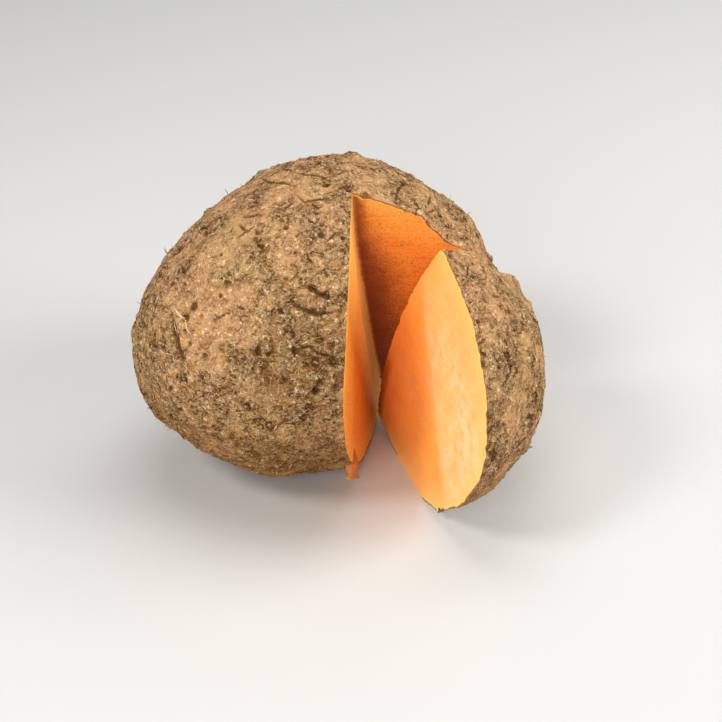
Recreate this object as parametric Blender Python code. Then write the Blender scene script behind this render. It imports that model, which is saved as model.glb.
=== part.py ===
"""Elephant foot yam with one wedge cut out of it, for Blender 4.5. Metres, +Z up.

The tuber stands on a small flat of its own. The wedge has been drawn out of the notch that
it was cut from, turned a little and stood in front of it. The origin is the middle of the
tuber's resting flat, and the notch opens towards -Y and +X.
"""

import math
import random

import bmesh
import bpy
import numpy as np
from mathutils import Euler, Vector, noise

# The whole yam before it is cut: its widest level, and how it closes above and below that
GIRTH_RADIUS = 0.0976
GIRTH_HEIGHT = 0.0787
CROWN_RISE = 0.0868
BASE_DROP = 0.0783
CROWN_POWER = 1.85
BASE_POWER = 2.09
LEAN_X, LEAN_Y = -0.001, -0.075
# Swells round the girth: crests round the yam, share of the radius, azimuth of one crest
GIRTH_WAVES = ((2, 0.118, 49.0), (3, 0.033, 70.5))
# Broad lobes and hollows: azimuth, elevation, width in degrees, height. The last one is the
# boss under the base that the yam stands on
LOBES = (
    (180, 40, 26, -0.0024),
    (140, 62, 26, 0.0030),
    (-172, -5, 20, 0.0005),
    (-105, -32, 22, -0.0020),
    (20, 45, 24, -0.0043),
    (-60, 5, 26, 0.0020),
    (75, 66, 18, -0.0021),
    (140, 52, 18, -0.0017),
    (-120, -40, 16, 0.0066),
    (-97, 20, 18, -0.0009),
    (-14, 36, 18, -0.0048),
    (-24, -2, 20, 0.0015),
    (-160, -32, 22, 0.0033),
    (90, -82, 34, 0.0080),
)

# Lumps of the skin, and the knobs that the feeding roots grew from
LUMP_LENGTH = 0.030
LUMP_HEIGHT = 0.0022
LUMP_OCTAVES = 2
KNOB_COUNT = 110
KNOB_WIDTH = (0.0050, 0.0090)
KNOB_HEIGHT = (0.0010, 0.0026)
KNOB_SEED = 11
# The knobs that stand out most, and four small hollows: azimuth, elevation, width, height
LARGE_KNOBS = (
    (-64, -1, 0.0050, 0.0034),
    (-28, 40, 0.0050, 0.0022),
    (-14, 52, 0.0065, 0.0022),
    (-140, 20, 0.0120, 0.0030),
    (138, 56, 0.0090, -0.0030),
    (77, 52, 0.0075, -0.0020),
    (-113, -43, 0.0065, -0.0019),
    (-6, 30, 0.0110, -0.0030),
)

# The sunken crown that the leaf stalk stood in, with a bud inside ring-shaped leaf scars
CROWN_AZIMUTH = 105.0
CROWN_ELEVATION = 42.0
CROWN_RADIUS = 0.022
CROWN_DEPTH = 0.0066
RING_RADII = (0.026, 0.038, 0.051)
RING_HEIGHTS = (0.0032, 0.0021, 0.0010)
RING_WIDTH = 0.0048
BUD_RADIUS = 0.0130
BUD_HEIGHT = 0.0100

# The base closes softly towards the ground, which then trims off a small flat
BASE_SOFTNESS = 0.0040
FLAT_DEPTH = 0.0005
GROUND_SIZE = 1.0

# The two knife cuts. They meet along a line from over the top to the base, which bends by
# CUT_BOW at its middle. The blade turned as it went down, so each cut has one azimuth at
# the base and another at the top
CUT_TOP = Vector((0.0148, -0.0293, 0.1667))
CUT_FOOT = Vector((0.0332, 0.0332, 0.0))
LEFT_CUT_AZIMUTHS = (-99.4, -91.3)
RIGHT_CUT_AZIMUTHS = (3.6, -2.6)
CUT_BOW = Vector((-0.0028, 0.0081, 0.0))
CUT_OVERRUN = 0.15
CUT_REACH = 0.24
CUT_ROWS = 14

# How the wedge was put down: its tip moved from CUT_TOP, and its turn about that tip
WEDGE_SHIFT = Vector((0.0460, -0.0484, -0.0071))
WEDGE_TURN = (9.5, 2.9, 27.6)

# Quads along each edge of the six patches that make the skin
SKIN_QUADS = 32

SKIN_COLOUR = (0.42, 0.25, 0.12, 1.0)
SKIN_ROUGHNESS = 0.85
FLESH_COLOUR = (0.90, 0.42, 0.10, 1.0)
FLESH_ROUGHNESS = 0.55


def clear_scene():
    for thing in list(bpy.data.objects):
        bpy.data.objects.remove(thing)


def material(name, colour, roughness):
    made = bpy.data.materials.new(name)
    made.use_nodes = True
    shader = made.node_tree.nodes["Principled BSDF"]
    shader.inputs["Base Color"].default_value = colour
    shader.inputs["Roughness"].default_value = roughness
    shader.inputs["Metallic"].default_value = 0.0
    return made


def direction(azimuth, elevation):
    """Unit vector for an azimuth from +X and an elevation, both in degrees."""
    turn, rise = math.radians(azimuth), math.radians(elevation)
    return np.array((math.cos(rise) * math.cos(turn), math.cos(rise) * math.sin(turn), math.sin(rise)))


def plain_radius(rays):
    """Distance from the yam's middle to its smooth form, along each unit ray."""
    x = rays[:, 0] - LEAN_X * rays[:, 2]
    y = rays[:, 1] - LEAN_Y * rays[:, 2]
    around = np.arctan2(y, x)
    swell = 1.0
    for crests, share, azimuth in GIRTH_WAVES:
        swell = swell + share * np.cos(crests * (around - math.radians(azimuth)))
    across = np.hypot(x, y) / (GIRTH_RADIUS * swell)
    above = rays[:, 2] > 0.0
    along = np.where(above, rays[:, 2] / CROWN_RISE, -rays[:, 2] / BASE_DROP)
    power = np.where(above, CROWN_POWER, BASE_POWER)
    radius = (across**power + along**power) ** (-1.0 / power)
    for azimuth, elevation, width, height in LOBES:
        away = np.degrees(np.arccos(np.clip(rays @ direction(azimuth, elevation), -1.0, 1.0)))
        radius = radius + height * np.exp(-((away / width) ** 2))
    return radius


def distance_over_skin(rays, centre):
    """Roughly how far each ray's end lies from a point on the skin, measured along it."""
    return GIRTH_RADIUS * np.arccos(np.clip(rays @ centre, -1.0, 1.0))


def lumps(rays):
    """Soft lumps and hollows all over the skin."""
    scale = GIRTH_RADIUS / LUMP_LENGTH
    rise = [noise.fractal(Vector(ray) * scale, 1.0, 2.0, LUMP_OCTAVES) for ray in rays]
    return LUMP_HEIGHT * np.array(rise)


def knobs(rays):
    """Round knobs and hollows: a few large ones, and small ones scattered by a seeded draw."""
    draw = random.Random(KNOB_SEED)
    every_knob = [(direction(azimuth, elevation), *size) for azimuth, elevation, *size in LARGE_KNOBS]
    for _ in range(KNOB_COUNT):
        centre = np.array([draw.gauss(0.0, 1.0) for _ in range(3)])
        centre /= np.linalg.norm(centre)
        every_knob.append((centre, draw.uniform(*KNOB_WIDTH), draw.uniform(*KNOB_HEIGHT)))
    rise = np.zeros(len(rays))
    for centre, width, height in every_knob:
        rise += height * np.exp(-((distance_over_skin(rays, centre) / width) ** 2))
    return rise


def crown(rays):
    """The sunken dish with its flat floor, the rings round it and the domed bud in its middle."""
    away = distance_over_skin(rays, direction(CROWN_AZIMUTH, CROWN_ELEVATION))
    rise = -CROWN_DEPTH * np.exp(-((away / CROWN_RADIUS) ** 4))
    for ring_radius, ring_height in zip(RING_RADII, RING_HEIGHTS):
        rise += ring_height * np.exp(-(((away - ring_radius) / RING_WIDTH) ** 2))
    return rise + BUD_HEIGHT * np.clip(1.0 - (away / BUD_RADIUS) ** 2, 0.0, 1.0) ** 2


def skin_points(rays):
    """Where each unit ray from the yam's middle leaves its skin."""
    radius = plain_radius(rays) + lumps(rays) + knobs(rays) + crown(rays)
    points = rays * radius[:, None]
    points += np.array((LEAN_X, LEAN_Y, 1.0)) * GIRTH_HEIGHT
    height = points[:, 2]
    points[:, 2] = (height + np.hypot(height, BASE_SOFTNESS)) / 2.0 - FLAT_DEPTH
    return points


def yam_mesh():
    """The whole yam as a ball of six square patches, pushed out to the skin."""
    bm = bmesh.new()
    bmesh.ops.create_cube(bm, size=2.0)
    bmesh.ops.subdivide_edges(bm, edges=bm.edges, cuts=SKIN_QUADS - 1, use_grid_fill=True)
    corners = np.tan(np.array([vert.co for vert in bm.verts]) * math.pi / 4.0)
    rays = corners / np.linalg.norm(corners, axis=1)[:, None]
    for vert, point in zip(bm.verts, skin_points(rays)):
        vert.co = point
    bmesh.ops.triangulate(bm, faces=bm.faces)
    bmesh.ops.recalc_face_normals(bm, faces=bm.faces)
    mesh = bpy.data.meshes.new("yam")
    bm.to_mesh(mesh)
    bm.free()
    mesh.shade_smooth()
    return mesh


def heading(azimuths, share):
    """Level direction of a cut at this share of the way up from the base."""
    return Vector(direction(azimuths[0] + (azimuths[1] - azimuths[0]) * share, 0.0))


def knife_mesh():
    """The sector between the two cuts, as a stack of level triangles."""
    bm = bmesh.new()
    rows = []
    for step in range(CUT_ROWS + 1):
        share = (1.0 + 2.0 * CUT_OVERRUN) * step / CUT_ROWS - CUT_OVERRUN
        bow = max(0.0, 4.0 * share * (1.0 - share))
        inner = CUT_FOOT.lerp(CUT_TOP, share) + CUT_BOW * bow
        left = heading(LEFT_CUT_AZIMUTHS, share) * CUT_REACH
        right = heading(RIGHT_CUT_AZIMUTHS, share) * CUT_REACH
        rows.append([bm.verts.new(corner) for corner in (inner, inner + left, inner + right)])
    bm.faces.new(reversed(rows[0]))
    bm.faces.new(rows[-1])
    for lower, upper in zip(rows, rows[1:]):
        for here, there in ((0, 1), (1, 2), (2, 0)):
            bm.faces.new((lower[here], lower[there], upper[there], upper[here]))
    bmesh.ops.triangulate(bm, faces=bm.faces)
    bmesh.ops.recalc_face_normals(bm, faces=bm.faces)
    mesh = bpy.data.meshes.new("knife")
    bm.to_mesh(mesh)
    bm.free()
    return mesh


def ground_mesh():
    """A block whose top is the ground, z = 0."""
    bm = bmesh.new()
    bmesh.ops.create_cube(bm, size=GROUND_SIZE)
    bmesh.ops.translate(bm, verts=bm.verts, vec=(0.0, 0.0, -GROUND_SIZE / 2.0))
    mesh = bpy.data.meshes.new("ground")
    bm.to_mesh(mesh)
    bm.free()
    return mesh


def placed(name, mesh):
    """A new object with this mesh, in the scene."""
    thing = bpy.data.objects.new(name, mesh)
    bpy.context.scene.collection.objects.link(thing)
    return thing


def cutter(name, mesh, finish):
    """An object that only cuts others, and gives the faces that it makes this finish."""
    thing = placed(name, mesh)
    if not mesh.materials:
        mesh.materials.append(finish)
    thing.hide_render = True
    thing.display_type = "WIRE"
    return thing


def cut(thing, tool, operation):
    boolean = thing.modifiers.new(tool.name, "BOOLEAN")
    boolean.object = tool
    boolean.operation = operation
    boolean.solver = "EXACT"
    boolean.material_mode = "TRANSFER"


def main():
    clear_scene()
    skin = material("skin", SKIN_COLOUR, SKIN_ROUGHNESS)
    flesh = material("flesh", FLESH_COLOUR, FLESH_ROUGHNESS)
    knife = knife_mesh()
    ground = cutter("ground", ground_mesh(), skin)

    tuber = placed("tuber", yam_mesh())
    tuber.data.materials.append(skin)
    cut(tuber, cutter("knife_in_tuber", knife, flesh), "DIFFERENCE")
    cut(tuber, ground, "DIFFERENCE")

    # The wedge's mesh is drawn about its own tip, and its knife travels with it
    wedge = placed("wedge", tuber.data.copy())
    for vert in wedge.data.vertices:
        vert.co -= CUT_TOP
    wedge.location = CUT_TOP + WEDGE_SHIFT
    wedge.rotation_euler = Euler([math.radians(angle) for angle in WEDGE_TURN])
    knife_in_wedge = cutter("knife_in_wedge", knife, flesh)
    knife_in_wedge.parent = wedge
    knife_in_wedge.location = -CUT_TOP
    cut(wedge, knife_in_wedge, "INTERSECT")
    cut(wedge, ground, "DIFFERENCE")


main()
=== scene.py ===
# %% [markdown]
# # An elephant foot yam, cut open
#
# An elephant foot yam is a corm: a swollen stem that rests underground. It is a lopsided
# ball with dusty, bark-like skin, ring-shaped scars where roots grew, and a sunken crown
# where last year's leaf stalk stood. This one has a wedge cut out of it, so its orange
# flesh shows.
#
# The model of its solids is loaded first. It fixes where everything is and how large.
# Each step after that grows a finer surface over those solids, and then finishes it.

# %% Load the solids
import math
import random

import bmesh
import bpy
import numpy as np
from mathutils import Euler, Matrix, Vector, kdtree, noise
from mathutils.bvhtree import BVHTree


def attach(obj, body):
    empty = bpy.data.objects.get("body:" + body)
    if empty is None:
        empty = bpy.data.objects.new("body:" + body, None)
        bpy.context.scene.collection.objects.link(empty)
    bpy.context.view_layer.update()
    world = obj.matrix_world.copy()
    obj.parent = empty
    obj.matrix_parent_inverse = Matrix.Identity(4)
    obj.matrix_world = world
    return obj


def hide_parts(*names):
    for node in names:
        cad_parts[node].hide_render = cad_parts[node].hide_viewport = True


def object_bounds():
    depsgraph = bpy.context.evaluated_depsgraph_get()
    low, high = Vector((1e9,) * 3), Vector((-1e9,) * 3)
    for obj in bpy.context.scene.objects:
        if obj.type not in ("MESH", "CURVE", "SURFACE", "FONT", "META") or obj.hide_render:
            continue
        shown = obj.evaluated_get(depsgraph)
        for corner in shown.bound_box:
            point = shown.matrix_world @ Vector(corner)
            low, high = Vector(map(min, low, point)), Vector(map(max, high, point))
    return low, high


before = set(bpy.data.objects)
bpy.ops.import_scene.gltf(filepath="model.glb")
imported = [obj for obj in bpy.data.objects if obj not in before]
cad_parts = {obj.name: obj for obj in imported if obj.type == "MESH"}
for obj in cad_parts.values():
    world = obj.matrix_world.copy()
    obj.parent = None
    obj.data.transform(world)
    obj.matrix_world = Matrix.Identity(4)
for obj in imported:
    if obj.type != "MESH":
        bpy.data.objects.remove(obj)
cad_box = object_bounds()


def mm(length):
    return f"{length * 1000:.2f} mm"


print("solids:", sorted(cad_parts), "tall", mm(cad_box[1][2] - cad_box[0][2]))

# %% [markdown]
# ## The form of the whole yam
#
# Seen from the yam's middle, its skin lies at some distance in every direction, so one
# formula for that distance draws the whole yam: a squashed ball whose girth swells and
# shrinks, with a few broad lobes. It could also be sculpted by hand, but a formula can be
# drawn again at any fineness, and it can be asked how deep inside the flesh a point lies.
# The values are the ones that the solids were drawn with, so both agree.

# %% Sizes of the yam, in metres, with +Z up
GIRTH_RADIUS = 0.0976
GIRTH_HEIGHT = 0.0787
CROWN_RISE = 0.0868
BASE_DROP = 0.0783
CROWN_POWER = 1.85
BASE_POWER = 2.09
LEAN_X, LEAN_Y = -0.001, -0.075
GIRTH_WAVES = ((2, 0.118, 49.0), (3, 0.033, 70.5))
LOBES = (
    (180, 40, 26, -0.0024),
    (140, 62, 26, 0.0030),
    (-172, -5, 20, 0.0005),
    (-105, -32, 22, -0.0020),
    (20, 45, 24, -0.0043),
    (-60, 5, 26, 0.0020),
    (75, 66, 18, -0.0021),
    (140, 52, 18, -0.0017),
    (-120, -40, 16, 0.0066),
    (-97, 20, 18, -0.0009),
    (-14, 36, 18, -0.0048),
    (-24, -2, 20, 0.0015),
    (-160, -32, 22, 0.0033),
    (90, -82, 34, 0.0080),
)
MIDDLE = Vector((LEAN_X, LEAN_Y, 1.0)) * GIRTH_HEIGHT


# %% Distance to the skin along any ray
def direction(azimuth, elevation):
    """Unit vector for an azimuth from +X and an elevation, both in degrees."""
    turn, rise = math.radians(azimuth), math.radians(elevation)
    level = math.cos(rise)
    return np.array((level * math.cos(turn), level * math.sin(turn), math.sin(rise)))


def plain_radius(rays):
    """Distance from the yam's middle to its smooth form, along each unit ray."""
    x = rays[:, 0] - LEAN_X * rays[:, 2]
    y = rays[:, 1] - LEAN_Y * rays[:, 2]
    around = np.arctan2(y, x)
    swell = 1.0
    for crests, share, azimuth in GIRTH_WAVES:
        swell = swell + share * np.cos(crests * (around - math.radians(azimuth)))
    across = np.hypot(x, y) / (GIRTH_RADIUS * swell)
    above = rays[:, 2] > 0.0
    along = np.where(above, rays[:, 2] / CROWN_RISE, -rays[:, 2] / BASE_DROP)
    power = np.where(above, CROWN_POWER, BASE_POWER)
    radius = (across**power + along**power) ** (-1.0 / power)
    for azimuth, elevation, width, height in LOBES:
        away = np.degrees(np.arccos(np.clip(rays @ direction(azimuth, elevation), -1.0, 1.0)))
        radius = radius + height * np.exp(-((away / width) ** 2))
    return radius


# %% [markdown]
# ## A ball of fine quads
#
# A ball made of rings and segments crowds its faces at the poles, and one made of triangles
# has no even direction. A cube whose six sides are divided into a grid and blown up into
# a ball has neither fault. Taking the tangent of each grid coordinate first makes the quads
# nearly the same size everywhere. A few helpers come first, which all later meshes share.


# %% Meshes, their points, and a tree to find points by
def mesh_from(bm, name):
    """Turns a finished drawing into a smooth mesh."""
    for face in bm.faces:
        face.smooth = True
    mesh = bpy.data.meshes.new(name)
    bm.to_mesh(mesh)
    bm.free()
    return mesh


def loft(bm, rings):
    """Joins each ring of points to the next, closes both ends and turns the faces outwards."""
    loops = [[bm.verts.new(point) for point in ring] for ring in rings]
    faces = []
    for lower, upper in zip(loops, loops[1:]):
        for here in range(len(lower)):
            there = (here + 1) % len(lower)
            faces.append(bm.faces.new((lower[here], lower[there], upper[there], upper[here])))
    faces += [bm.faces.new(loops[0]), bm.faces.new(loops[-1])]
    bmesh.ops.recalc_face_normals(bm, faces=faces)


def read_points(mesh):
    points = np.empty(len(mesh.vertices) * 3, np.float32)
    mesh.vertices.foreach_get("co", points)
    return points.reshape(-1, 3).astype(float)


def write_points(mesh, points):
    mesh.vertices.foreach_set("co", np.asarray(points, np.float32).ravel())
    mesh.update()


def tree_of(vectors):
    tree = kdtree.KDTree(len(vectors))
    for row, vector in enumerate(vectors):
        tree.insert(vector, row)
    tree.balance()
    return tree


# %% The rays from the yam's middle
SKIN_QUADS = 130


def ball_mesh():
    bm = bmesh.new()
    bmesh.ops.create_cube(bm, size=2.0)
    bmesh.ops.subdivide_edges(bm, edges=bm.edges, cuts=SKIN_QUADS - 1, use_grid_fill=True)
    return mesh_from(bm, "whole_yam")


whole = ball_mesh()
corners = np.tan(read_points(whole) * math.pi / 4.0)
rays = corners / np.linalg.norm(corners, axis=1)[:, None]
ray_vectors = [Vector(ray) for ray in rays]
print("rays:", len(rays), "about", mm(math.pi * GIRTH_RADIUS / 2 / SKIN_QUADS), "apart")

# %% [markdown]
# ## Lumps, knobs and the crown
#
# These are the forms that are seen from across a room: soft lumps, the knobs that feeding
# roots grew from, and the crown. The crown is a sunken dish with a bud in it, inside rings
# that the bases of old leaves left. All three are heights that are added to the radius.

# %% Forms that the solids have too
LUMP_LENGTH = 0.030
LUMP_HEIGHT = 0.0022
LUMP_OCTAVES = 2
KNOB_COUNT = 110
KNOB_WIDTH = (0.0050, 0.0090)
KNOB_HEIGHT = (0.0010, 0.0026)
KNOB_SEED = 11
LARGE_KNOBS = (
    (-64, -1, 0.0050, 0.0034),
    (-28, 40, 0.0050, 0.0022),
    (-14, 52, 0.0065, 0.0022),
    (-140, 20, 0.0120, 0.0030),
    (138, 56, 0.0090, -0.0030),
    (77, 52, 0.0075, -0.0020),
    (-113, -43, 0.0065, -0.0019),
    (-6, 30, 0.0110, -0.0030),
)
CROWN = direction(105.0, 42.0)
CROWN_RADIUS = 0.022
CROWN_DEPTH = 0.0066
RING_RADII = (0.026, 0.038, 0.051)
RING_HEIGHTS = (0.0032, 0.0021, 0.0010)
RING_WIDTH = 0.0048
BUD_RADIUS = 0.0130
BUD_HEIGHT = 0.0100


def distance_over_skin(centre):
    """Roughly how far each ray's end is from a point, along the skin."""
    return GIRTH_RADIUS * np.arccos(np.clip(rays @ centre, -1.0, 1.0))


def lumps():
    scale = GIRTH_RADIUS / LUMP_LENGTH
    rise = [noise.fractal(ray * scale, 1.0, 2.0, LUMP_OCTAVES) for ray in ray_vectors]
    return LUMP_HEIGHT * np.array(rise)


def knobs():
    draw = random.Random(KNOB_SEED)
    every_knob = [(direction(*knob[:2]), *knob[2:]) for knob in LARGE_KNOBS]
    for _ in range(KNOB_COUNT):
        centre = np.array([draw.gauss(0.0, 1.0) for _ in range(3)])
        centre /= np.linalg.norm(centre)
        every_knob.append((centre, draw.uniform(*KNOB_WIDTH), draw.uniform(*KNOB_HEIGHT)))
    rise = np.zeros(len(rays))
    for centre, width, height in every_knob:
        rise += height * np.exp(-((distance_over_skin(centre) / width) ** 2))
    return rise


def crown():
    away = distance_over_skin(CROWN)
    rise = -CROWN_DEPTH * np.exp(-((away / CROWN_RADIUS) ** 4))
    for ring_radius, ring_height in zip(RING_RADII, RING_HEIGHTS):
        rise += ring_height * np.exp(-(((away - ring_radius) / RING_WIDTH) ** 2))
    return rise + BUD_HEIGHT * np.clip(1.0 - (away / BUD_RADIUS) ** 2, 0.0, 1.0) ** 2


form = plain_radius(rays) + lumps() + knobs() + crown()
print("radius from", mm(form.min()), "to", mm(form.max()))

# %% [markdown]
# ## Root scars
#
# Up close the skin is covered with the scars of feeding roots: small round pits with a
# raised rim, some with a stub in the middle. They are spread over the ball by a spiral
# whose turns are a golden angle apart, which leaves no gaps and no rows, and then
# each is nudged a little. The largest ones are placed one by one. A tree of the rays finds
# the few points near each scar, so thousands of scars cost little time.

# %% Pits with rims
GOLDEN_ANGLE = math.pi * (3.0 - math.sqrt(5.0))
SCAR_COUNT = 3400
SCAR_RADIUS = (0.0013, 0.0038)
SCAR_SMALLNESS = 1.8
SCAR_DEPTH = 0.33
SCAR_RIM = 0.17
SCAR_REACH = 2.0
RIM_PLACE, RIM_WIDTH = 1.1, 0.3
SCAR_STUB_WIDTH = 0.45
SCAR_STRENGTH = (0.5, 1.3)
STUB_HEIGHTS = (0.0, 0.9, 0.9)
SCAR_NUDGE = 0.02
CROWDING_SCALE = 5.0
KEPT_SHARE, CROWDING_SHARE = 0.55, 0.9
SCAR_SEED = 23
LARGE_SCAR_STRENGTH = 1.15
LARGE_STUB_HEIGHT = 0.65
LARGE_SCARS = (
    (-69, 48, 0.0022), (-67, 44, 0.0022), (-66, 40, 0.0026), (-53, 37, 0.0022),
    (-71, 38, 0.0028), (-80, 35, 0.0036), (-59, 27, 0.0028), (-74, 29, 0.0026),
    (-69, 27, 0.0022), (-63, 20, 0.0026), (-80, 27, 0.0022), (-79, 22, 0.0030),
    (-54, 56, 0.0026), (-25, 34, 0.0030), (-64, 34, 0.0018), (-75, 41, 0.0024),
    (-99, 57, 0.0020), (-97, 50, 0.0020), (-90, 49, 0.0026), (-90, 22, 0.0038),
    (-87, 21, 0.0028), (-96, 20, 0.0034), (-86, 8, 0.0036), (-88, 27, 0.0022),
    (-108, 7, 0.0026), (-104, -4, 0.0026), (-120, -10, 0.0030), (-139, -9, 0.0026),
    (-149, 0, 0.0024), (-143, 9, 0.0028), (-105, 38, 0.0018),
)
STUMP = direction(-12.0, 51.0)
STUMP_RADIUS = 0.0052
STUMP_HEIGHT = 0.0009
STUMP_GROOVE = 0.0007
STUMP_STEEPNESS = 4.0
DITCH_PLACE, DITCH_WIDTH = 1.08, 0.14

ray_tree = tree_of(ray_vectors)


def near(centre, reach):
    """The rays within a distance of a point on the skin, and how far each is from it."""
    found = ray_tree.find_range(Vector(centre), reach / GIRTH_RADIUS)
    away = np.array([hit[2] for hit in found]) * GIRTH_RADIUS
    return np.array([hit[1] for hit in found], int), away


def stray(draw, spread):
    """A random nudge in any direction."""
    return Vector([draw.gauss(0.0, spread) for _ in range(3)])


def spiral_points(count, draw, nudge):
    for step in range(count):
        height = 1.0 - (2.0 * step + 1.0) / count
        turn = GOLDEN_ANGLE * step
        level = math.sqrt(1.0 - height * height)
        point = Vector((level * math.cos(turn), level * math.sin(turn), height))
        point += stray(draw, nudge)
        yield point.normalized()


def press_scar(centre, radius, strength, stub_height, rise, mark):
    """Presses in a pit with a rim round it, and perhaps a stub in its middle."""
    rows, away = near(centre, radius * SCAR_REACH)
    share = away / radius
    pit = np.clip(1.0 - share**2, 0.0, 1.0) ** 2
    rim = np.exp(-(((share - RIM_PLACE) / RIM_WIDTH) ** 2))
    stub = stub_height * np.exp(-((share / SCAR_STUB_WIDTH) ** 2))
    rise[rows] += strength * radius * (SCAR_RIM * rim - SCAR_DEPTH * (pit - stub))
    mark[rows] = np.maximum(mark[rows], strength * (pit - stub))


def scars():
    """Depth of all root scars, and a mark that is 1 in their pits."""
    draw = random.Random(SCAR_SEED)
    rise, mark = np.zeros(len(rays)), np.zeros(len(rays))
    smallest, largest = SCAR_RADIUS
    for centre in spiral_points(SCAR_COUNT, draw, SCAR_NUDGE):
        radius = smallest + (largest - smallest) * draw.random() ** SCAR_SMALLNESS
        crowding = noise.noise(centre * CROWDING_SCALE)
        if draw.random() > KEPT_SHARE + CROWDING_SHARE * crowding:
            continue
        stub_height, strength = draw.choice(STUB_HEIGHTS), draw.uniform(*SCAR_STRENGTH)
        press_scar(centre, radius, strength, stub_height, rise, mark)
    for azimuth, elevation, radius in LARGE_SCARS:
        centre = direction(azimuth, elevation)
        press_scar(centre, radius, LARGE_SCAR_STRENGTH, LARGE_STUB_HEIGHT, rise, mark)
    return rise, mark


def stump():
    """The flat foot of a thick root that broke off, inside a groove."""
    share = distance_over_skin(STUMP) / STUMP_RADIUS
    top = np.clip((1.0 - share) * STUMP_STEEPNESS, 0.0, 1.0)
    ditch = np.exp(-(((share - DITCH_PLACE) / DITCH_WIDTH) ** 2))
    return STUMP_HEIGHT * top - STUMP_GROOVE * ditch, ditch, top


scar_rise, scar_mark = scars()
stump_rise, stump_mark, stump_top = stump()
scar_rise, scar_mark = scar_rise + stump_rise, np.maximum(scar_mark, stump_mark)
print("scars: deepest", mm(-scar_rise.min()))

# %% [markdown]
# ## Cracks and creases
#
# As a corm swells its skin splits. The splits are short and bent, and most of them run
# round the crown. Each one here is a path over the skin, and what lies near the path is
# pushed in, with a low lip on either side. A few long creases are placed one by one.

# %% Grooves along paths
CREASES = (
    (((-99, 39), (-94, 38), (-90, 36), (-85, 35)), 0.0013, 0.0018),
    (((-101, 33), (-92, 30), (-84, 31)), 0.0012, 0.0012),
    (((-140, 20), (-137, 16), (-134, 12), (-132, 8)), 0.0020, 0.0030),
    (((-139, 53), (-134, 52), (-129, 52)), 0.0009, 0.0012),
    (((-125, 73), (-108, 70), (-92, 72), (-75, 70)), 0.0011, 0.0009),
    (((165, 66), (-175, 70), (-150, 74), (-115, 77)), 0.0012, 0.0010),
    (((150, 72), (165, 79), (-160, 84), (-80, 83)), 0.0013, 0.0012),
    (((-20, 62), (5, 62), (25, 55)), 0.0011, 0.0010),
    (((-126, -36), (-116, -37), (-106, -36), (-98, -33)), 0.0010, 0.0010),
    (((-120, -42), (-110, -42), (-99, -38)), 0.0010, 0.0012),
    (((-118, -31), (-108, -31), (-98, -28)), 0.0009, 0.0008),
)
CRACK_COUNT = 150
CRACK_LENGTH = (0.004, 0.016)
CRACK_WIDTH = (0.0005, 0.0011)
CRACK_DEPTH = (0.0003, 0.0010)
CRACK_BEND = (-40.0, 40.0)
CRACK_NUDGE = 0.06
CRACK_SPREAD = 0.35
CRACK_SEED = 41
LIP_SHARE = 0.3
GROOVE_STEP = 0.7
GROOVE_REACH = 4.0


def groove(path, width, depth, rise, mark):
    """Presses one path, given as unit vectors, into the skin."""
    nearest = {}
    for step, centre in enumerate(path):
        taper = math.sin(math.pi * (step + 1) / (len(path) + 1)) ** 0.5
        rows, away = near(centre, width * GROOVE_REACH)
        for row, distance in zip(rows, away):
            if row not in nearest or distance < nearest[row][0]:
                nearest[row] = (distance, taper)
    rows = np.array(list(nearest), int)
    away, taper = np.array(list(nearest.values())).T
    pit = np.exp(-((away / width) ** 2)) * taper
    lip = np.exp(-(((away - 2.0 * width) / width) ** 2)) * taper
    rise[rows] += depth * (LIP_SHARE * lip - pit)
    mark[rows] = np.maximum(mark[rows], pit)


def smooth_path(points, spacing):
    """Unit vectors along a chain of azimuths and elevations, this far apart on the skin."""
    ends = [Vector(direction(*point)) for point in points]
    path = []
    for here, there in zip(ends, ends[1:]):
        steps = max(2, round(here.angle(there) * GIRTH_RADIUS / spacing))
        path += [here.slerp(there, step / steps) for step in range(steps)]
    return path


def walk(spot, way, turn, step):
    """One step over the skin, and the way on from there, turned a little."""
    way = (way - spot * way.dot(spot)).normalized()
    way += spot.cross(way) * turn
    return (spot + way.normalized() * (step / GIRTH_RADIUS)).normalized(), way


def cracks():
    draw = random.Random(CRACK_SEED)
    rise, mark = np.zeros(len(rays)), np.zeros(len(rays))
    for points, width, depth in CREASES:
        groove(smooth_path(points, width * GROOVE_STEP), width, depth, rise, mark)
    for centre in spiral_points(CRACK_COUNT, draw, CRACK_NUDGE):
        way = Vector(CROWN).cross(centre) + stray(draw, CRACK_SPREAD)
        bend = draw.uniform(*CRACK_BEND)
        width = draw.uniform(*CRACK_WIDTH)
        length = draw.uniform(*CRACK_LENGTH)
        step = width * GROOVE_STEP
        path, spot = [], centre
        for _ in range(round(length / step)):
            spot, way = walk(spot, way, bend * width, step)
            path.append(spot)
        groove(path, width, draw.uniform(*CRACK_DEPTH), rise, mark)
    return rise, mark


crack_rise, crack_mark = cracks()
print("cracks: deepest", mm(-crack_rise.min()))

# %% [markdown]
# ## Grit
#
# Last comes the fine roughness of the dry skin. Ridged noise has sharp crests, like flakes
# that curl up at their edges, and plain fractal noise gives even grit. Broad patches are
# rougher than others, some of them where the photo shows them.

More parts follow.
